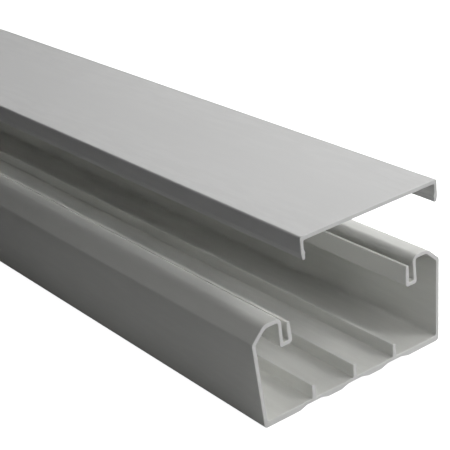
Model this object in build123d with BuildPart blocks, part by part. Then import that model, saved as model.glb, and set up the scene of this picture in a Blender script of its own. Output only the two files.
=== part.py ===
from build123d import *
import math
import os

# Cord cover raceway: surface trunking sold as straight stock, in two extruded pieces.
# The length runs along Y, the section lies in the XZ plane, and Z = 0 is the underside.
# The base channel carries the cords. Its edges are hollow rounded shoulders, each ending in
# an upright U-shaped slot with a catch lip. The cover has a barbed leg along each long edge,
# which goes down into the slot. Here the cover is off: raised above its seat and pulled
# forward past the cut end of the base.

# Overall sizes of the stock; the width is taken over the knees' corners, before they are rounded
stock_length = 2000.0
overall_width = 100.0
overall_height = 45.0

# Sheet thicknesses of the base; the floor is thicker, because grooves run along its underside
wall = 1.8
floor_sheet = 2.8
shoulder_sheet = 1.8
slot_sheet = 1.7

# Outer wall: it leans outwards from the foot to the knee
wall_lean = 2.1
foot_radius = 1.8
inner_foot_radius = 1.2
knee_radius = 1.5
inner_knee_radius = 0.5

# Shoulder: a straight facet runs from the knee up to a flat crest, which turns down into the slot
shoulder_width = 15.0
knee_drop = 6.4
crest_inset = 6.4
crest_radius = 5.5
slot_edge_radius = 2.8

# Cover sheet and its barbed legs
cover_sheet = 1.7
leg_sheet = 1.5
leg_lean = 0.5
leg_tip_sheet = 1.4
leg_tip_radius = 0.45
leg_root_radius = 0.8
barb_rise = 2.5
barb_reach = 0.6
barb_run_in = 1.3
barb_run_out = 0.9
barb_radius = 0.3

# Slot and catch lip
slot_depth = 7.8
slot_relief = 0.3
slot_corner_radius = 0.7
slot_inner_radius = 1.5
slot_leg_radius = 1.3
lip_drop = 3.4
lip_neck_drop = 4.4
lip_top_sheet = 1.3
lip_belly_sheet = 1.95
lip_top_radius = 0.35

# Play between the cover and the slot
slot_side_clearance = 0.15
catch_clearance = 0.15
seat_clearance = 0.05
tip_clearance = 0.15

# Ribs on the floor, thicker at the foot, and the grooves under them
rib_count = 3
rib_pitch = 22.1
rib_foot_sheet = 2.2
rib_tip_sheet = 1.6
rib_top = 8.8
rib_root_radius = 0.5
rib_tip_radius = 0.4
groove_mouth = 15.0
groove_roof = 8.0
groove_depth = 1.2

# Where the loose cover is held
cover_lift = 40.55
cover_pull = 16.0

# Places that follow from the sizes, across the base
half_width = overall_width / 2
foot_half_width = half_width - wall_lean
crest_x = half_width - crest_inset
facet_angle = math.atan2(knee_drop, crest_inset)
inner_crest_x = crest_x - shoulder_sheet * math.tan(facet_angle / 2)
slot_outer_x = half_width - shoulder_width
slot_leg_x = slot_outer_x + slot_sheet
cover_half = slot_outer_x - slot_side_clearance
leg_inner_x = cover_half - leg_sheet
barb_x = leg_inner_x - barb_reach
lip_neck_x = barb_x - catch_clearance
lip_belly_x = lip_neck_x - lip_belly_sheet
lip_foot_x = lip_neck_x - slot_relief
lip_top_x = lip_neck_x - slot_relief / 2
rib_places = [(i - (rib_count - 1) / 2) * rib_pitch for i in range(rib_count)]

# Heights that follow from the sizes
knee_height = overall_height - knee_drop
inner_crest_height = overall_height - shoulder_sheet
inner_knee_rise = (half_width - wall - inner_crest_x) * math.tan(facet_angle)
lip_top = overall_height - lip_drop
lip_neck_height = lip_top - lip_neck_drop
slot_floor_height = lip_top - slot_depth
slot_underside = slot_floor_height - slot_sheet
cover_top = lip_top + seat_clearance + cover_sheet + cover_lift
leg_tip_z = cover_top - cover_sheet - seat_clearance - slot_depth + tip_clearance
barb_z = leg_tip_z + barb_rise

# Slopes of the grooves' and the ribs' sides, and where the two pieces start along the length
groove_angle = math.degrees(math.atan2(groove_depth, (groove_mouth - groove_roof) / 2))
rib_angle = math.degrees(math.atan2(rib_top, (rib_foot_sheet - rib_tip_sheet) / 2))
rib_root_half = rib_foot_sheet / 2 - floor_sheet / math.tan(math.radians(rib_angle))
base_start = cover_pull / 2 - stock_length / 2
cover_start = -cover_pull / 2 - stock_length / 2


def corners(sketch, *places):
    """The sketch's corners that lie nearest to the given places."""
    return [sketch.vertices().sort_by_distance((x, z))[0] for x, z in places]


# Corners of the outer skin
knee = (half_width, knee_height)
crest = (crest_x, overall_height)
slot_edge = (slot_outer_x, overall_height)

# The same skin on its hollow side
wall_slope = wall_lean / knee_height
inner_foot = (foot_half_width - wall + wall_slope * floor_sheet, floor_sheet)
inner_knee = (half_width - wall, inner_crest_height - inner_knee_rise)
inner_crest = (inner_crest_x, inner_crest_height)
inner_slot_edge = (slot_leg_x, inner_crest_height)

# Corners of the slot and of its catch lip
slot_foot_outer = (slot_outer_x, slot_floor_height)
slot_foot_inner = (lip_foot_x, slot_floor_height)
lip_neck = (lip_neck_x, lip_neck_height)
lip_belly = (lip_belly_x, lip_neck_height)
lip_top_outer = (lip_top_x, lip_top)
lip_top_inner = (lip_top_x - lip_top_sheet, lip_top)
slot_under_inner = (lip_foot_x - slot_sheet, slot_underside)
slot_under_outer = (slot_leg_x, slot_underside)

# Corners of the cover's leg, from its outer face round the tip to its root
leg_bend = (cover_half, barb_z)
leg_tip_outer = (cover_half - leg_lean, leg_tip_z)
leg_tip_inner = (cover_half - leg_lean - leg_tip_sheet, leg_tip_z)
barb_under = (leg_inner_x - leg_lean / 2, barb_z - barb_run_out)
barb_point = (barb_x, barb_z)
barb_shoulder = (leg_inner_x, barb_z + barb_run_in)
leg_root = (leg_inner_x, cover_top - cover_sheet)

# Base channel: one hollow shoulder and half the floor are drawn, then mirrored
with BuildPart() as base_channel:
    with BuildSketch(Plane.XZ.offset(-base_start)) as base_section:
        with BuildLine():
            Polyline((0, 0), (foot_half_width, 0), knee, crest, slot_edge)
            Polyline(slot_edge, slot_foot_outer, slot_foot_inner)
            ThreePointArc(slot_foot_inner, lip_neck, lip_top_outer)
            Line(lip_top_outer, lip_top_inner)
            ThreePointArc(lip_top_inner, lip_belly, slot_under_inner)
            Polyline(slot_under_inner, slot_under_outer, inner_slot_edge)
            Polyline(inner_slot_edge, inner_crest, inner_knee, inner_foot, (0, floor_sheet))
            mirror(about=Plane.YZ)
        make_face()
        with GridLocations(rib_pitch, 0, rib_count, 1):
            Trapezoid(rib_foot_sheet, rib_top, rib_angle, align=(Align.CENTER, Align.MIN))
            Trapezoid(
                groove_mouth,
                groove_depth,
                groove_angle,
                align=(Align.CENTER, Align.MIN),
                mode=Mode.SUBTRACT,
            )
        for side in (1, -1):
            fillet(corners(base_section, (side * foot_half_width, 0)), foot_radius)
            fillet(corners(base_section, (side * inner_foot[0], inner_foot[1])), inner_foot_radius)
            fillet(corners(base_section, (side * knee[0], knee[1])), knee_radius)
            fillet(corners(base_section, (side * inner_knee[0], inner_knee[1])), inner_knee_radius)
            fillet(corners(base_section, (side * crest[0], crest[1])), crest_radius)
            fillet(
                corners(base_section, (side * inner_crest[0], inner_crest[1])),
                crest_radius - shoulder_sheet,
            )
            fillet(corners(base_section, (side * slot_edge[0], slot_edge[1])), slot_edge_radius)
            fillet(
                corners(base_section, (side * inner_slot_edge[0], inner_slot_edge[1])),
                slot_edge_radius - shoulder_sheet,
            )
            slot_feet = [(side * x, z) for x, z in (slot_foot_outer, slot_foot_inner)]
            fillet(corners(base_section, *slot_feet), slot_corner_radius)
            lip_tops = [(side * x, z) for x, z in (lip_top_outer, lip_top_inner)]
            fillet(corners(base_section, *lip_tops), lip_top_radius)
            fillet(
                corners(base_section, (side * slot_under_inner[0], slot_underside)),
                slot_inner_radius,
            )
            fillet(corners(base_section, (side * slot_leg_x, slot_underside)), slot_leg_radius)
        rib_feet = [(x + s * rib_root_half, floor_sheet) for x in rib_places for s in (1, -1)]
        fillet(corners(base_section, *rib_feet), rib_root_radius)
        rib_tips = [(x + s * rib_tip_sheet / 2, rib_top) for x in rib_places for s in (1, -1)]
        fillet(corners(base_section, *rib_tips), rib_tip_radius)
    extrude(amount=-stock_length)

# Cover: a flat sheet with a barbed leg down each long edge
with BuildPart() as snap_cover:
    with BuildSketch(Plane.XZ.offset(-cover_start)) as cover_section:
        with BuildLine():
            Polyline((0, cover_top), (cover_half, cover_top), leg_bend, leg_tip_outer)
            Polyline(leg_tip_outer, leg_tip_inner, barb_under, barb_point, barb_shoulder)
            Polyline(barb_shoulder, leg_root, (0, cover_top - cover_sheet))
            mirror(about=Plane.YZ)
        make_face()
        for side in (1, -1):
            fillet(corners(cover_section, (side * leg_root[0], leg_root[1])), leg_root_radius)
            leg_tips = [(side * x, z) for x, z in (leg_tip_outer, leg_tip_inner)]
            fillet(corners(cover_section, *leg_tips), leg_tip_radius)
            fillet(corners(cover_section, (side * barb_point[0], barb_point[1])), barb_radius)
    extrude(amount=-stock_length)

base_channel.part.label = "base_channel"
snap_cover.part.label = "snap_cover"

os.makedirs("parts", exist_ok=True)
export_step(base_channel.part, "parts/base_channel.step")
export_step(snap_cover.part, "parts/snap_cover.step")
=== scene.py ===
import math

import bmesh
import bpy
from bpy.props import FloatProperty, FloatVectorProperty, IntProperty, PointerProperty
from mathutils import Matrix, Vector


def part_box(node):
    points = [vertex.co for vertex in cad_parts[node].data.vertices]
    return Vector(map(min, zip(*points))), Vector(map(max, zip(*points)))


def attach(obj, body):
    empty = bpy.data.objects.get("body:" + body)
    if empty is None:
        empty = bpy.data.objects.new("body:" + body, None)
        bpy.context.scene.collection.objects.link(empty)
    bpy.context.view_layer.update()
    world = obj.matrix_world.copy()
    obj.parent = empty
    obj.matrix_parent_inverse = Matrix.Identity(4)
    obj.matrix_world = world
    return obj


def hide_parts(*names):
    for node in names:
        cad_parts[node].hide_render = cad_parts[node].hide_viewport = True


bl_info = {
    "name": "Cord cover raceway",
    "version": (1, 0, 0),
    "blender": (4, 5, 0),
    "location": "3D View > Sidebar > Raceway",
    "description": "Two extruded lengths of surface trunking, base and snap cover, with their finish",
    "category": "Object",
}

# Everything is in metres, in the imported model's frame: length along Y, section in XZ.
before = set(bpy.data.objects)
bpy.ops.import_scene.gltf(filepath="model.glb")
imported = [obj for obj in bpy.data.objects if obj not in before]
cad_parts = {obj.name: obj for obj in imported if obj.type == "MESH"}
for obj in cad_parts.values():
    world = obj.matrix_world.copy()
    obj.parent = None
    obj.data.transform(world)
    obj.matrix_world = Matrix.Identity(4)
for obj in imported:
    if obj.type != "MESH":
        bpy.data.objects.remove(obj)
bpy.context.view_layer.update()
base_low, base_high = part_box("base_channel")
cover_low, cover_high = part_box("snap_cover")

MM = 0.001

# Round stretches of the sections: an arc's largest step, its fewest steps, and the lip's steps
ARC_STEP = math.radians(9)
FEWEST_STEPS = 3
LIP_FACE_STEPS = 7
LIP_BACK_STEPS = 5

# An edge of this radius or less wears fully, and faces meet sharply beyond this angle
SHARP_RADIUS = 1.0 * MM
SHARP_ANGLE = math.radians(25)

# How quickly the sawn edge's unevenness changes from one point of a section to the next
CHATTER_QUICK = 7.3
CHATTER_SLOW = 2.9

# The picture in pixels, the sensor in millimetres, then the camera's reach and half the floor in metres
PICTURE_SIDE = 450
SENSOR_SIDE = 36
CAMERA_NEAR = 0.01
CAMERA_FAR = 200
FLOOR_REACH = 60


# Settings


def length(name, description, millimetres):
    """A length setting, given in millimetres."""
    return FloatProperty(
        name=name, description=description, default=millimetres * MM, unit="LENGTH", precision=5
    )


def amount(name, description, default, low=0.0, high=1.0):
    """A plain number setting."""
    return FloatProperty(name=name, description=description, default=default, min=low, max=high)


def colour(name, description, default):
    """A colour setting."""
    return FloatVectorProperty(
        name=name, description=description, default=default, subtype="COLOR", min=0.0, max=1.0
    )


class BaseSizes(bpy.types.PropertyGroup):
    """Sizes of the base channel's section."""

    overall_width: length("Overall width", "Over the corners of the two knees", 100.0)
    overall_height: FloatProperty(
        name="Overall height",
        description="From the underside to the crests",
        default=base_high.z - base_low.z,
        unit="LENGTH",
    )
    wall: length("Wall", "Sheet of the two outer walls", 1.8)
    floor_sheet: length("Floor", "Sheet of the floor beside the grooves", 2.8)
    shoulder_sheet: length("Shoulder", "Sheet of the hollow shoulders", 1.8)
    slot_sheet: length("Slot", "Sheet of the slot's outer leg and bottom", 1.7)
    wall_lean: length("Wall lean", "How far the wall leans out from foot to knee", 2.1)
    foot_radius: length("Foot radius", "Outer radius from floor to wall", 1.8)
    inner_foot_radius: length("Inner foot radius", "Inner radius from floor to wall", 1.2)
    knee_radius: length("Knee radius", "Radius between wall and facet", 1.5)
    inner_knee_radius: length("Inner knee radius", "The same on the hollow side", 0.5)
    shoulder_width: length("Shoulder width", "From the knee to the slot", 15.0)
    knee_drop: length("Knee drop", "From the crest down to the knee", 6.4)
    crest_inset: length("Crest inset", "From the knee in to the flat crest's corner", 6.4)
    crest_radius: length("Crest radius", "Outer radius between facet and crest", 5.5)
    slot_edge_radius: length("Slot edge radius", "Where the crest turns into the slot", 2.8)
    slot_depth: length("Slot depth", "From the lip's top to the slot's floor", 7.8)
    slot_relief: length("Slot relief", "How much wider the slot is at its foot", 0.3)
    slot_corner_radius: length("Slot corner radius", "Radius in the slot's two corners", 0.7)
    slot_inner_radius: length("Slot inner radius", "Radius under the lip", 1.5)
    slot_leg_radius: length("Slot leg radius", "Radius under the slot's outer leg", 1.3)
    slot_gap: length("Slot gap", "Width of the slot at its neck", 2.4)
    lip_drop: length("Lip drop", "From the crest down to the lip's top", 3.4)
    lip_neck_drop: length("Lip neck drop", "From the lip's top down to its neck", 4.4)
    lip_top_sheet: length("Lip top", "Thickness of the lip at its top", 1.3)
    lip_belly_sheet: length("Lip belly", "Thickness of the lip at its neck", 1.95)
    lip_top_radius: length("Lip top radius", "Radius of the lip's two top edges", 0.35)
    rib_pitch: length("Rib pitch", "From one rib to the next", 22.1)
    rib_foot_sheet: length("Rib foot", "Thickness of a rib at the underside", 2.2)
    rib_tip_sheet: length("Rib tip", "Thickness of a rib at its top", 1.6)
    rib_top: length("Rib top", "Height of a rib over the underside", 8.8)
    rib_root_radius: length("Rib root radius", "Radius at a rib's foot", 0.5)
    rib_tip_radius: length("Rib tip radius", "Radius of a rib's top edges", 0.4)
    groove_mouth: length("Groove mouth", "Width of a groove at the underside", 15.0)
    groove_roof: length("Groove roof", "Width of a groove at its roof", 8.0)
    groove_depth: length("Groove depth", "Depth of a groove under a rib", 1.2)
    groove_radius: length("Groove radius", "Easing of the grooves' bends", 1.8)


class CoverSizes(bpy.types.PropertyGroup):
    """Sizes of the snap cover's section."""

    width: FloatProperty(
        name="Width",
        description="Over the two legs",
        default=cover_high.x - cover_low.x,
        unit="LENGTH",
    )
    depth: FloatProperty(
        name="Depth",
        description="From the top to the leg tips",
        default=cover_high.z - cover_low.z,
        unit="LENGTH",
    )
    top: FloatProperty(
        name="Top", description="Height of the loose cover's top", default=cover_high.z, unit="LENGTH"
    )
    sheet: length("Sheet", "Thickness of the flat sheet", 1.7)
    corner_radius: length("Corner radius", "Radius of the two long outer corners", 0.8)
    leg_sheet: length("Leg", "Thickness of a leg above its barb", 1.5)
    leg_lean: length("Leg lean", "How far the tip turns inwards", 0.5)
    leg_bend_radius: length("Leg bend radius", "Outer radius where the tip turns inwards", 3.0)
    leg_tip_sheet: length("Leg tip", "Thickness of a leg at its tip", 1.4)
    leg_tip_radius: length("Leg tip radius", "Radius of the tip's two edges", 0.45)
    leg_root_radius: length("Leg root radius", "Radius between leg and sheet", 0.8)
    barb_rise: length("Barb rise", "From the tip up to the barb's point", 2.5)
    barb_reach: length("Barb reach", "How far the barb stands out", 0.6)
    barb_run_in: length("Barb run in", "Length of the barb's upper slope", 1.3)
    barb_run_out: length("Barb run out", "Length of the barb's lower slope", 0.9)
    barb_radius: length("Barb radius", "Radius of the barb's point", 0.3)


class StockSettings(bpy.types.PropertyGroup):
    """How both lengths of stock are cut."""

    rings: IntProperty(
        name="Rings", description="Rings of points along each length", default=40, min=2
    )
    ease: length("Cut edge", "Easing of the sawn ends' edges", 0.14)
    chatter: length("Saw chatter", "Unevenness of the sawn edge", 0.05)


class FinishSettings(bpy.types.PropertyGroup):
    """Colours and surface of the plastic."""

    base_colour: colour("Base colour", "Plastic of the base channel", (0.72, 0.722, 0.694))
    cover_colour: colour("Cover colour", "Plastic of the snap cover", (0.73, 0.73, 0.725))
    sawn_colour: colour("Sawn colour", "Freshly sawn plastic", (0.66, 0.66, 0.65))
    roughness: amount("Roughness", "Satin of the extruded skin", 0.48)
    die_lines: amount("Die lines", "Depth of the lines that the die leaves", 0.012)
    grain: amount("Grain", "Depth of the fine grain", 0.05)
    saw_marks: amount("Saw marks", "Depth of the marks on the cut ends", 0.5)
    wear: amount("Wear", "Rubbing along the long edges and on the flats", 0.3)
    mottle: amount("Mottle", "Unevenness of the colour", 0.02)


class StageSettings(bpy.types.PropertyGroup):
    """Camera, floor and light."""

    camera_place: FloatVectorProperty(
        name="Camera place",
        description="Where the camera stands, from the middle of the sawn front end",
        default=(-0.30236, -0.36181, 0.28920),
        subtype="TRANSLATION",
    )
    camera_turn: amount("Camera turn", "Degrees to the right of the length", 34.257, -180, 180)
    camera_dip: amount("Camera dip", "Degrees down from level", 24.295, -90, 90)
    camera_roll: amount("Camera roll", "Degrees of roll", 6.49, -90, 90)
    lens: amount("Lens", "Focal length in pixels of the picture", 1328.4, 1, 10000)
    world: amount("Surrounding light", "Strength of the even light", 0.032, 0, 10)
    backdrop: amount("Backdrop", "Paleness behind the floor's far edge", 0.96)
    floor_white: amount("Floor white", "Paleness of the floor", 0.9)
    floor_glow: amount("Floor glow", "How much the floor shines of itself", 0.93)
    floor_bounce: amount("Floor bounce", "Light that the floor sends back up", 0.45)


# Section outlines


def shorter_way(turn):
    """The same turn, by at most half a circle one way or the other."""
    return (turn + math.pi) % math.tau - math.pi


def arc(centre, radius, start, end, wear):
    """Points on a circle from one angle to another, with their edge wear."""
    steps = max(FEWEST_STEPS, math.ceil(abs(end - start) / ARC_STEP))
    turns = [start + (end - start) * i / steps for i in range(steps + 1)]
    return [(centre.x + radius * math.cos(t), centre.y + radius * math.sin(t), wear) for t in turns]


def bowed(first, middle, last, steps):
    """Unworn points between the first and last of three, on the circle through all of them."""
    (ax, az), (bx, bz), (cx, cz) = first, middle, last
    divisor = 2 * (ax * (bz - cz) + bx * (cz - az) + cx * (az - bz))
    a_square, b_square, c_square = ax**2 + az**2, bx**2 + bz**2, cx**2 + cz**2
    x = (a_square * (bz - cz) + b_square * (cz - az) + c_square * (az - bz)) / divisor
    z = (a_square * (cx - bx) + b_square * (ax - cx) + c_square * (bx - ax)) / divisor
    radius = math.hypot(ax - x, az - z)
    start = math.atan2(az - z, ax - x)
    sweep = shorter_way(math.atan2(cz - z, cx - x) - start)
    turns = [start + sweep * i / steps for i in range(1, steps)]
    return [(x + radius * math.cos(t), z + radius * math.sin(t), 0.0) for t in turns]


def rounded(path):
    """Points along a path of corners (x, z, radius) and ready runs of points, with their wear."""
    points = []
    for i, item in enumerate(path):
        if isinstance(item, list):
            points += item
            continue
        x, z, radius = item
        on_middle_line = i in (0, len(path) - 1)
        if on_middle_line or radius <= 0:
            points.append((x, z, 0.0 if on_middle_line else 1.0))
            continue
        before = path[i - 1][-1] if isinstance(path[i - 1], list) else path[i - 1]
        after = path[i + 1][0] if isinstance(path[i + 1], list) else path[i + 1]
        corner = Vector((x, z))
        to_before = (Vector(before[:2]) - corner).normalized()
        to_after = (Vector(after[:2]) - corner).normalized()
        half_angle = to_before.angle(to_after) / 2
        centre = corner + (to_before + to_after).normalized() * (radius / math.sin(half_angle))
        reach = radius / math.tan(half_angle)
        first = corner + to_before * reach - centre
        last = corner + to_after * reach - centre
        start = math.atan2(first.y, first.x)
        sweep = shorter_way(math.atan2(last.y, last.x) - start)
        points += arc(centre, radius, start, start + sweep, min(1.0, SHARP_RADIUS / radius))
    return points


def both_sides(half):
    """A whole outline from its right half, which starts and ends on the middle line."""
    return half + [(-x, z, wear) for x, z, wear in reversed(half[1:-1])]


def base_outline(s):
    """Outline of the base channel's section, round from the middle of its underside."""
    half = s.overall_width / 2
    foot = half - s.wall_lean
    knee = (half, s.overall_height - s.knee_drop)
    crest = (half - s.crest_inset, s.overall_height)

    slot_outer = half - s.shoulder_width
    slot_leg = slot_outer + s.slot_sheet
    neck = slot_outer - s.slot_gap
    lip_foot = neck - s.slot_relief
    lip_top_outer = (neck - s.slot_relief / 2, s.overall_height - s.lip_drop)
    lip_top_inner = (lip_top_outer[0] - s.lip_top_sheet, lip_top_outer[1])
    slot_floor = lip_top_outer[1] - s.slot_depth
    underside = slot_floor - s.slot_sheet
    neck_z = lip_top_outer[1] - s.lip_neck_drop
    belly = (neck - s.lip_belly_sheet, neck_z)
    under_lip = (lip_foot - s.slot_sheet, underside)

    facet = math.atan2(s.knee_drop, s.crest_inset)
    inner_crest = (crest[0] - s.shoulder_sheet * math.tan(facet / 2), crest[1] - s.shoulder_sheet)
    inner_knee_x = half - s.wall
    inner_knee_z = inner_crest[1] - (inner_knee_x - inner_crest[0]) * math.tan(facet)
    inner_foot_x = foot - s.wall + s.wall_lean / knee[1] * s.floor_sheet

    def under_rib(x):
        """Corners of the groove under the rib at x, left to right."""
        mouth, roof, bend = s.groove_mouth / 2, s.groove_roof / 2, s.groove_radius
        return [
            (x - mouth, 0, bend),
            (x - roof, s.groove_depth, bend),
            (x + roof, s.groove_depth, bend),
            (x + mouth, 0, bend),
        ]

    def over_rib(x):
        """Corners of the rib at x, right to left."""
        top, root, tip = s.rib_tip_sheet / 2, s.rib_root_radius, s.rib_tip_radius
        side = top + (s.rib_foot_sheet / 2 - top) * (1 - s.floor_sheet / s.rib_top)
        return [
            (x + side, s.floor_sheet, root),
            (x + top, s.rib_top, tip),
            (x - top, s.rib_top, tip),
            (x - side, s.floor_sheet, root),
        ]

    path = [(0, s.groove_depth, 0)] + under_rib(0)[2:] + under_rib(s.rib_pitch)
    path += [(foot, 0, s.foot_radius), (*knee, s.knee_radius)]
    path += [(*crest, s.crest_radius), (slot_outer, crest[1], s.slot_edge_radius)]
    path += [(x, slot_floor, s.slot_corner_radius) for x in (slot_outer, lip_foot)]
    path += [bowed((lip_foot, slot_floor), (neck, neck_z), lip_top_outer, LIP_FACE_STEPS)]
    path += [(*corner, s.lip_top_radius) for corner in (lip_top_outer, lip_top_inner)]
    path += [bowed(lip_top_inner, belly, under_lip, LIP_BACK_STEPS)]
    path += [(*under_lip, s.slot_inner_radius), (slot_leg, underside, s.slot_leg_radius)]
    path += [(slot_leg, inner_crest[1], s.slot_edge_radius - s.shoulder_sheet)]
    path += [(*inner_crest, s.crest_radius - s.shoulder_sheet)]
    path += [(inner_knee_x, inner_knee_z, s.inner_knee_radius)]
    path += [(inner_foot_x, s.floor_sheet, s.inner_foot_radius)]
    path += over_rib(s.rib_pitch) + over_rib(0)[:2] + [(0, s.rib_top, 0)]
    return both_sides(rounded(path))


def cover_outline(s):
    """Outline of the snap cover's section, round from the middle of its top."""
    half = s.width / 2
    inner = half - s.leg_sheet
    tip = s.top - s.depth
    barb = tip + s.barb_rise
    path = [
        (0, s.top, 0),
        (half, s.top, s.corner_radius),
        (half, barb, s.leg_bend_radius),
        (half - s.leg_lean, tip, s.leg_tip_radius),
        (half - s.leg_lean - s.leg_tip_sheet, tip, s.leg_tip_radius),
        (inner - s.leg_lean / 2, barb - s.barb_run_out, s.barb_radius),
        (inner - s.barb_reach, barb, s.barb_radius),
        (inner, barb + s.barb_run_in, s.barb_radius),
        (inner, s.top - s.sheet, s.leg_root_radius),
        (0, s.top - s.sheet, 0),
    ]
    return both_sides(rounded(path))


# Meshes


def inset(outline, distance):
    """The outline moved into the material by a small distance."""
    pairs = zip(outline, outline[1:] + outline[:1])
    twice_area = sum(a[0] * b[1] - b[0] * a[1] for a, b in pairs)
    inwards = 1 if twice_area > 0 else -1
    moved = []
    for i, (x, z, wear) in enumerate(outline):
        before, after = Vector(outline[i - 1][:2]), Vector(outline[(i + 1) % len(outline)][:2])
        here = Vector((x, z))
        along = (here - before).normalized() + (after - here).normalized()
        along.normalize()
        moved.append((x - inwards * along.y * distance, z + inwards * along.x * distance, wear))
    return moved


def unevenness(i):
    """How far a sawn edge lies inwards at point i of its section, from 0 to 1."""
    return 0.5 + 0.5 * math.sin(CHATTER_QUICK * i) * math.cos(CHATTER_SLOW * i + 1)


def extrusion(name, outline, start, end, stock):
    """A length of stock with this section, from start to end along Y, with eased sawn ends."""
    cut = inset(outline, stock.ease)
    step = (end - start) / stock.rings

    # Rows of points: the section, its place along Y, and how far its unevenness reaches along Y
    rows = [(cut, start, 0.0), (outline, start + stock.ease, stock.chatter)]
    rows += [(outline, start + step * i, 0.0) for i in range(1, stock.rings)]
    rows += [(outline, end - stock.ease, -stock.chatter), (cut, end, 0.0)]

    mesh = bmesh.new()
    edge = mesh.verts.layers.float.new("edge_wear")
    rings = []
    for section, y, chatter in rows:
        ring = []
        for i, (x, z, wear) in enumerate(section):
            vert = mesh.verts.new((x, y + chatter * unevenness(i), z))
            vert[edge] = wear
            ring.append(vert)
        rings.append(ring)
    for near, far in zip(rings, rings[1:]):
        for i in range(len(near)):
            mesh.faces.new((near[i - 1], near[i], far[i], far[i - 1]))
    caps = [mesh.faces.new(rings[0]), mesh.faces.new(rings[-1])]
    mesh.normal_update()
    bmesh.ops.triangulate(mesh, faces=caps)
    bmesh.ops.recalc_face_normals(mesh, faces=mesh.faces)

    data = bpy.data.meshes.new(name)
    mesh.to_mesh(data)
    mesh.free()
    data.shade_smooth()
    data.set_sharp_from_angle(angle=SHARP_ANGLE)
    piece = bpy.data.objects.new(name, data)
    bpy.context.scene.collection.objects.link(piece)
    return piece


# Materials

# Noise patterns: cells along X, Y and Z, then detail and roughness. Cells are counted per
# millimetre, and the grain's per grain size.
PATTERNS = {
    "fine_lines": ((2.2, 0.0004, 2.2), 4.0, 0.6),
    "bands": ((0.16, 0.0003, 0.16), 1.0, 0.5),
    "grain": ((1.0, 1.0, 1.0), 3.0, 0.5),
    "mottle": ((0.05, 0.012, 0.05), 3.0, 0.55),
    "blade_waver": ((0.4, 0.4, 0.4), 2.0, 0.5),
    "blade_grit": ((5.0, 5.0, 5.0), 3.0, 0.5),
    "edge_breaks": ((0.35, 0.05, 0.35), 4.0, 0.5),
    "scuff_patches": ((0.03, 0.011, 0.03), 2.0, 0.5),
    "scuff_streaks": ((1.4, 0.012, 1.4), 3.0, 0.5),
}
NOISE_MIDDLE = 0.5

# Spans over which a mask grows from nothing to full
SAWN_FACING = (0.55, 0.85)
BROKEN_EDGES = (0.42, 0.62)
SCUFF_PATCHES = (0.5, 0.72)
SCUFF_STREAKS = (0.58, 0.7)

# Saw marks: the lines' bend per millimetre, their waver in millimetres, and their share of the height
BLADE_BEND = 0.0012
BLADE_WAVER = 1.4
BLADE_LINES = 0.25

# How much paler the rubbed plastic is
PALE_TINT = 1.12

# How much each mark counts in the plastic's tone, roughness and relief
FINE_LINE_TONE = 0.5
MOTTLE_TONE = 1.6
SCUFF_TONE = 0.35
MOTTLE_ROUGHNESS = 0.12
SCUFF_ROUGHNESS = 0.15
EDGE_ROUGHNESS = -0.08
SAWN_ROUGHNESS = 0.32
SCUFF_RELIEF = -0.05

# The plastic's gloss, and how much of the relief is seen
PLASTIC_SPECULAR = 0.5
PLASTIC_IOR = 1.53
RELIEF_STRENGTH = 0.5
RELIEF_DEPTH = 0.1 * MM


def grey(value):
    """An opaque grey."""
    return (value, value, value, 1.0)


def add(tree, kind, inputs=None, **settings):
    """A new node with its settings, and its inputs set to values or linked from sockets."""
    node = tree.nodes.new(kind)
    for key, value in settings.items():
        setattr(node, key, value)
    for key, value in (inputs or {}).items():
        if isinstance(value, bpy.types.NodeSocket):
            tree.links.new(value, node.inputs[key])
        else:
            node.inputs[key].default_value = value
    return node


def maths(tree, operation, *values, clamp=False):
    """The result socket of one sum on values or sockets."""
    inputs = dict(enumerate(values))
    return add(tree, "ShaderNodeMath", inputs, operation=operation, use_clamp=clamp).outputs[0]


def mask(tree, value, span):
    """A mask that grows smoothly from 0 to 1 while the value crosses the span."""
    inputs = {0: value, 1: span[0], 2: span[1]}
    return add(tree, "ShaderNodeMapRange", inputs, interpolation_type="SMOOTHSTEP").outputs[0]


def scaled(tree, vector, factor):
    """A vector or colour times a factor."""
    inputs = {0: vector, "Scale": factor}
    return add(tree, "ShaderNodeVectorMath", inputs, operation="SCALE").outputs[0]


def blend_colour(tree, factor, first, second):
    """Two colours mixed by a factor."""
    node = add(tree, "ShaderNodeMix", data_type="RGBA")
    for key, value in (("Factor_Float", factor), ("A_Color", first), ("B_Color", second)):
        socket = next(i for i in node.inputs if i.identifier == key)
        if isinstance(value, bpy.types.NodeSocket):
            tree.links.new(value, socket)
        else:
            socket.default_value = value
    return next(o for o in node.outputs if o.identifier == "Result_Color")


def noise(tree, place, pattern):
    """One of the noise patterns over a place."""
    cells, detail, roughness = PATTERNS[pattern]
    inputs = {0: place, 1: cells}
    stretched = add(tree, "ShaderNodeVectorMath", inputs, operation="MULTIPLY").outputs[0]
    inputs = {"Vector": stretched, "Scale": 1.0, "Detail": detail, "Roughness": roughness}
    return add(tree, "ShaderNodeTexNoise", inputs).outputs["Fac"]


def uneven(tree, place, pattern):
    """One of the noise patterns, as much below zero as above it."""
    return maths(tree, "SUBTRACT", noise(tree, place, pattern), NOISE_MIDDLE)


def new_group(name, inputs, outputs):
    """An empty node group with named float inputs and outputs, and its two end nodes."""
    tree = bpy.data.node_groups.new(name, "ShaderNodeTree")
    for label, default in inputs.items():
        socket = tree.interface.new_socket(label, in_out="INPUT", socket_type="NodeSocketFloat")
        socket.default_value = default
    for label in outputs:
        tree.interface.new_socket(label, in_out="OUTPUT", socket_type="NodeSocketFloat")
    return tree, tree.nodes.new("NodeGroupInput"), tree.nodes.new("NodeGroupOutput")


def object_place(tree):
    """The place on the object in millimetres."""
    return scaled(tree, add(tree, "ShaderNodeTexCoord").outputs["Object"], 1 / MM)


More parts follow.
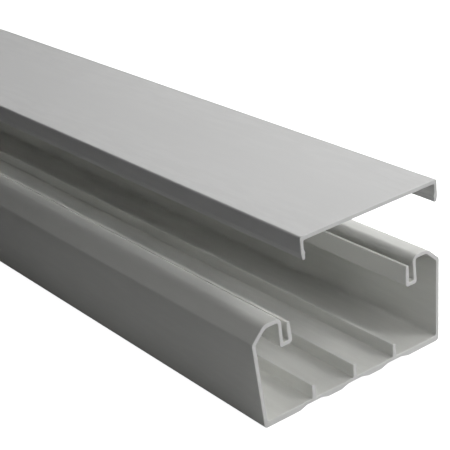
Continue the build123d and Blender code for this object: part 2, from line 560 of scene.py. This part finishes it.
def die_line_group():
    """Long fine lines and soft bands that the extrusion die leaves along the stock."""
    tree, start, end = new_group("die_lines", {"Fine": 1.0, "Bands": 1.0}, ("Height", "Tone"))
    place = object_place(tree)
    fine = maths(tree, "MULTIPLY", uneven(tree, place, "fine_lines"), start.outputs["Fine"])
    bands = maths(tree, "MULTIPLY", uneven(tree, place, "bands"), start.outputs["Bands"])
    tree.links.new(maths(tree, "ADD", fine, bands), end.inputs["Height"])
    tone = maths(tree, "MULTIPLY_ADD", fine, FINE_LINE_TONE, bands)
    tree.links.new(tone, end.inputs["Tone"])
    return tree


def grain_group():
    """Fine satin grain of extruded plastic, and a slow unevenness of its colour."""
    tree, start, end = new_group("plastic_grain", {"Size": 0.25}, ("Height", "Mottle"))
    place = object_place(tree)
    in_grains = scaled(tree, place, maths(tree, "DIVIDE", 1.0, start.outputs["Size"]))
    tree.links.new(noise(tree, in_grains, "grain"), end.inputs["Height"])
    tree.links.new(uneven(tree, place, "mottle"), end.inputs["Mottle"])
    return tree


def saw_cut_group():
    """The sawn ends: where they are, and the marks that the blade leaves on them."""
    tree, start, end = new_group("saw_cut", {"Spacing": 0.45}, ("Mask", "Height"))
    place = object_place(tree)
    normal = add(tree, "ShaderNodeTexCoord").outputs["Normal"]
    facing = maths(tree, "ABSOLUTE", add(tree, "ShaderNodeSeparateXYZ", {0: normal}).outputs["Y"])
    tree.links.new(mask(tree, facing, SAWN_FACING), end.inputs["Mask"])
    parts = add(tree, "ShaderNodeSeparateXYZ", {0: place})
    bend = maths(tree, "MULTIPLY", maths(tree, "POWER", parts.outputs["X"], 2.0), BLADE_BEND)
    line = maths(tree, "ADD", parts.outputs["Z"], bend)
    waver = maths(tree, "MULTIPLY", noise(tree, place, "blade_waver"), BLADE_WAVER)
    phase = maths(tree, "DIVIDE", maths(tree, "ADD", line, waver), start.outputs["Spacing"])
    wave = maths(tree, "SINE", maths(tree, "MULTIPLY", phase, math.tau))
    height = maths(tree, "MULTIPLY_ADD", wave, BLADE_LINES, noise(tree, place, "blade_grit"))
    tree.links.new(height, end.inputs["Height"])
    return tree


def rub_group():
    """Rubbing: broken along the long edges, and as faint scuffs on the flats."""
    tree, start, end = new_group("rubbing", {"Amount": 0.5}, ("Edges", "Scuffs"))
    place = object_place(tree)
    edge = add(tree, "ShaderNodeAttribute", attribute_name="edge_wear").outputs["Fac"]
    broken = mask(tree, noise(tree, place, "edge_breaks"), BROKEN_EDGES)
    patches = mask(tree, noise(tree, place, "scuff_patches"), SCUFF_PATCHES)
    streaks = mask(tree, noise(tree, place, "scuff_streaks"), SCUFF_STREAKS)
    for label, first, second in (("Edges", edge, broken), ("Scuffs", patches, streaks)):
        both = maths(tree, "MULTIPLY", first, second)
        rubbed = maths(tree, "MULTIPLY", both, start.outputs["Amount"])
        tree.links.new(rubbed, end.inputs[label])
    return tree


def shared_groups():
    """The node groups that both plastics use, built once."""
    makers = {
        "die_lines": die_line_group,
        "plastic_grain": grain_group,
        "saw_cut": saw_cut_group,
        "rubbing": rub_group,
    }
    for name, maker in makers.items():
        if name not in bpy.data.node_groups:
            maker()
    return {name: bpy.data.node_groups[name] for name in makers}


def new_material(name):
    """A material with an empty node tree."""
    material = bpy.data.materials.new(name)
    material.use_nodes = True
    material.node_tree.nodes.clear()
    return material, material.node_tree


def plastic(name, tint, finish):
    """Satin extruded plastic with die lines, grain, sawn ends and a little rubbing."""
    material, tree = new_material(name)
    groups = shared_groups()
    shader = add(
        tree,
        "ShaderNodeBsdfPrincipled",
        {"Specular IOR Level": PLASTIC_SPECULAR, "IOR": PLASTIC_IOR},
    )
    add(tree, "ShaderNodeOutputMaterial", {"Surface": shader.outputs["BSDF"]})

    lines = add(tree, "ShaderNodeGroup", node_tree=groups["die_lines"])
    grain = add(tree, "ShaderNodeGroup", node_tree=groups["plastic_grain"])
    saw = add(tree, "ShaderNodeGroup", node_tree=groups["saw_cut"])
    rub = add(tree, "ShaderNodeGroup", node_tree=groups["rubbing"])
    rub.inputs["Amount"].default_value = finish.wear

    mottle = maths(tree, "MULTIPLY", grain.outputs["Mottle"], MOTTLE_TONE)
    tone = maths(tree, "ADD", mottle, lines.outputs["Tone"])
    body = scaled(tree, tuple(tint), maths(tree, "MULTIPLY_ADD", tone, finish.mottle, 1.0))
    pale = (*[min(1.0, c * PALE_TINT) for c in tint], 1.0)
    scuffed = maths(tree, "MULTIPLY", rub.outputs["Scuffs"], SCUFF_TONE)
    worn = blend_colour(tree, scuffed, body, pale)
    edged = blend_colour(tree, rub.outputs["Edges"], worn, pale)
    sawn = blend_colour(tree, saw.outputs["Mask"], edged, (*finish.sawn_colour, 1.0))
    tree.links.new(sawn, shader.inputs["Base Color"])

    matt = maths(tree, "MULTIPLY_ADD", grain.outputs["Mottle"], MOTTLE_ROUGHNESS, finish.roughness)
    matt = maths(tree, "MULTIPLY_ADD", rub.outputs["Scuffs"], SCUFF_ROUGHNESS, matt)
    matt = maths(tree, "MULTIPLY_ADD", rub.outputs["Edges"], EDGE_ROUGHNESS, matt)
    matt = maths(tree, "MULTIPLY_ADD", saw.outputs["Mask"], SAWN_ROUGHNESS, matt, clamp=True)
    tree.links.new(matt, shader.inputs["Roughness"])

    skin = maths(tree, "MULTIPLY", lines.outputs["Height"], finish.die_lines)
    skin = maths(tree, "MULTIPLY_ADD", grain.outputs["Height"], finish.grain, skin)
    skin = maths(tree, "MULTIPLY_ADD", rub.outputs["Scuffs"], SCUFF_RELIEF, skin)
    marks = maths(tree, "MULTIPLY", saw.outputs["Height"], finish.saw_marks)
    inputs = {0: saw.outputs["Mask"], 2: skin, 3: marks}
    height = add(tree, "ShaderNodeMix", inputs, data_type="FLOAT").outputs[0]
    inputs = {"Height": height, "Strength": RELIEF_STRENGTH, "Distance": RELIEF_DEPTH}
    bump = add(tree, "ShaderNodeBump", inputs)
    tree.links.new(bump.outputs["Normal"], shader.inputs["Normal"])
    return material


# Pieces and stage


class RACEWAY_OT_base(bpy.types.Operator):
    """Build the base channel with its plastic"""

    bl_idname = "raceway.base"
    bl_label = "Base channel"

    def execute(self, context):
        scene = context.scene
        outline = base_outline(scene.raceway_base)
        stock, finish = scene.raceway_stock, scene.raceway_finish
        piece = extrusion("base_channel_stock", outline, base_low.y, base_high.y, stock)
        piece.data.materials.append(plastic("base_plastic", finish.base_colour, finish))
        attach(piece, "trunking")
        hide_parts("base_channel")
        return {"FINISHED"}


class RACEWAY_OT_cover(bpy.types.Operator):
    """Build the snap cover with its plastic"""

    bl_idname = "raceway.cover"
    bl_label = "Snap cover"

    def execute(self, context):
        scene = context.scene
        outline = cover_outline(scene.raceway_cover)
        stock, finish = scene.raceway_stock, scene.raceway_finish
        piece = extrusion("snap_cover_stock", outline, cover_low.y, cover_high.y, stock)
        piece.data.materials.append(plastic("cover_plastic", finish.cover_colour, finish))
        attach(piece, "cover")
        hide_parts("snap_cover")
        return {"FINISHED"}


# Lights: name, place, aim, width and height in metres, spread in degrees, power in watts
LIGHTS = (
    ("key_right", (2.2, -0.65, 0.92), (-0.04, -0.65, 0.045), 1.4, 0.35, 180, 20.5),
    ("key_mid", (1.6, -0.9, 0.75), (0.0, -0.9, 0.03), 0.6, 0.3, 40, 0.56),
    ("near_key", (0.9, -1.9, 0.9), (0.0, -1.0, 0.04), 0.5, 0.5, 50, 0.67),
    ("near_over", (0.2, -1.1, 1.0), (0.0, -1.0, 0.0), 0.3, 0.3, 30, 0.026),
    ("front_steep", (0.0, -1.7, 0.9), (0.03, -0.98, 0.0), 0.3, 0.3, 30, 0.041),
    ("front_mid", (-0.1, -2.0, 0.6), (0.03, -0.95, 0.0), 0.3, 0.3, 40, 0.125),
    ("front_right", (0.5, -2.2, 0.5), (0.0, -1.0, 0.03), 0.4, 0.3, 50, 0.164),
    ("duct_low", (0.9, -1.25, 0.28), (0.0, -0.85, 0.02), 0.4, 0.1, 40, 0.05),
    ("wall_strip", (-0.55, -0.8, 0.02), (-0.05, -0.8, 0.016), 0.9, 0.03, 9, 0.0046),
    ("wall_strip_front", (-0.45, -1.25, 0.03), (-0.05, -1.0, 0.02), 0.3, 0.03, 14, 0.0021),
    ("top_back", (0.5, -0.1, 1.3), (0.0, -0.65, 0.08), 0.5, 0.5, 60, 0.34),
    ("far_over", (0.9, 0.6, 1.6), (0.0, 0.5, 0.0), 1.0, 1.4, 70, 2.4),
    ("far_end", (0.3, 3.2, 1.0), (0.0, 1.0, 0.0), 0.9, 0.9, 60, 2.5),
    ("far_left", (-2.4, 0.75, 0.9), (0.0, 0.75, 0.03), 1.0, 0.6, 40, 0.8),
)


def aimed(place, target):
    """The placing of something whose local -Z points from its place to a target."""
    turn = (Vector(target) - Vector(place)).to_track_quat("-Z", "Y")
    return Matrix.Translation(place) @ turn.to_matrix().to_4x4()


def by_ray(tree, unseen, seen):
    """One shader for what the camera sees, and another for all other rays."""
    path = add(tree, "ShaderNodeLightPath")
    inputs = {0: path.outputs["Is Camera Ray"], 1: unseen.outputs[0], 2: seen.outputs[0]}
    return add(tree, "ShaderNodeMixShader", inputs).outputs[0]


class RACEWAY_OT_stage(bpy.types.Operator):
    """Set up the camera, the pale floor and the studio light"""

    bl_idname = "raceway.stage"
    bl_label = "Stage"

    def execute(self, context):
        scene = context.scene
        s = scene.raceway_stage
        self.camera(scene, s)
        self.floor(scene, s)
        for name, place, target, width, height, spread, power in LIGHTS:
            light = bpy.data.lights.new(name, "AREA")
            light.shape = "RECTANGLE"
            light.size, light.size_y = width, height
            light.spread = math.radians(spread)
            light.energy = power
            lamp = bpy.data.objects.new(name, light)
            lamp.matrix_world = aimed(place, target)
            lamp.visible_camera = False
            scene.collection.objects.link(lamp)
        self.surroundings(scene, s)
        scene.view_settings.view_transform = "Standard"
        return {"FINISHED"}

    def camera(self, scene, s):
        """The camera at the photograph's place, from the middle of the sawn front end."""
        turn, dip, roll = (math.radians(a) for a in (s.camera_turn, s.camera_dip, s.camera_roll))
        level = math.cos(dip)
        ahead = Vector((math.sin(turn) * level, math.cos(turn) * level, -math.sin(dip)))
        right = Vector((math.cos(turn), -math.sin(turn), 0))
        up = right.cross(ahead)
        rolled_right = math.cos(roll) * right - math.sin(roll) * up
        rolled_up = math.sin(roll) * right + math.cos(roll) * up
        matrix = Matrix((rolled_right, rolled_up, -ahead)).transposed().to_4x4()
        place = Vector(s.camera_place) + Vector((0, base_low.y, 0))
        data = bpy.data.cameras.new("photo_camera")
        data.sensor_width = data.sensor_height = SENSOR_SIDE
        data.sensor_fit = "HORIZONTAL"
        data.lens = s.lens * data.sensor_width / PICTURE_SIDE
        data.clip_start, data.clip_end = CAMERA_NEAR, CAMERA_FAR
        camera = bpy.data.objects.new("photo_camera", data)
        camera.matrix_world = Matrix.Translation(place) @ matrix
        scene.collection.objects.link(camera)
        scene.camera = camera

    def surroundings(self, scene, s):
        """Even light from all around, and a pale backdrop behind the floor's far edge."""
        world = bpy.data.worlds.new("even_light")
        world.use_nodes = True
        tree = world.node_tree
        tree.nodes.clear()
        even = add(tree, "ShaderNodeBackground", {"Color": grey(1.0), "Strength": s.world})
        seen = add(tree, "ShaderNodeBackground", {"Color": grey(1.0), "Strength": s.backdrop})
        add(tree, "ShaderNodeOutputWorld", {"Surface": by_ray(tree, even, seen)})
        scene.world = world

    def floor(self, scene, s):
        """A wide pale floor, which looks white and sends little light back up."""
        data = bpy.data.meshes.new("floor")
        signs = ((-1, -1), (1, -1), (1, 1), (-1, 1))
        corners = [(x * FLOOR_REACH, y * FLOOR_REACH, 0) for x, y in signs]
        data.from_pydata(corners, [], [(0, 1, 2, 3)])
        floor = bpy.data.objects.new("floor", data)
        material, tree = new_material("pale_floor")
        glow = add(tree, "ShaderNodeEmission", {"Color": grey(1.0), "Strength": s.floor_glow})
        matt = add(tree, "ShaderNodeBsdfDiffuse", {"Color": grey(s.floor_white)})
        seen = add(tree, "ShaderNodeAddShader", {0: glow.outputs[0], 1: matt.outputs[0]})
        dull = add(tree, "ShaderNodeBsdfDiffuse", {"Color": grey(s.floor_bounce)})
        add(tree, "ShaderNodeOutputMaterial", {"Surface": by_ray(tree, dull, seen)})
        data.materials.append(material)
        scene.collection.objects.link(floor)


class RACEWAY_PT_panel(bpy.types.Panel):
    """Settings and build buttons of the raceway"""

    bl_idname = "RACEWAY_PT_panel"
    bl_label = "Raceway"
    bl_space_type = "VIEW_3D"
    bl_region_type = "UI"
    bl_category = "Raceway"

    def draw(self, context):
        for operator, groups in PANEL_ROWS:
            box = self.layout.box()
            box.operator(operator)
            for group in groups:
                settings = getattr(context.scene, group)
                for key in settings.__annotations__:
                    box.prop(settings, key)


SETTINGS = {
    "raceway_base": BaseSizes,
    "raceway_cover": CoverSizes,
    "raceway_stock": StockSettings,
    "raceway_finish": FinishSettings,
    "raceway_stage": StageSettings,
}
PANEL_ROWS = (
    ("raceway.base", ("raceway_base", "raceway_stock", "raceway_finish")),
    ("raceway.cover", ("raceway_cover",)),
    ("raceway.stage", ("raceway_stage",)),
)
OPERATORS = (RACEWAY_OT_base, RACEWAY_OT_cover, RACEWAY_OT_stage)
CLASSES = (*SETTINGS.values(), *OPERATORS, RACEWAY_PT_panel)


def register():
    """Register the classes and the scene's settings."""
    for cls in CLASSES:
        bpy.utils.register_class(cls)
    for name, group in SETTINGS.items():
        setattr(bpy.types.Scene, name, PointerProperty(type=group))


def unregister():
    """Take the settings and the classes away again."""
    for name in SETTINGS:
        delattr(bpy.types.Scene, name)
    for cls in reversed(CLASSES):
        bpy.utils.unregister_class(cls)


def main():
    """Build the pieces and the stage."""
    register()
    bpy.ops.raceway.base()
    bpy.ops.raceway.cover()
    bpy.ops.raceway.stage()


if __name__ == "__main__":
    main()
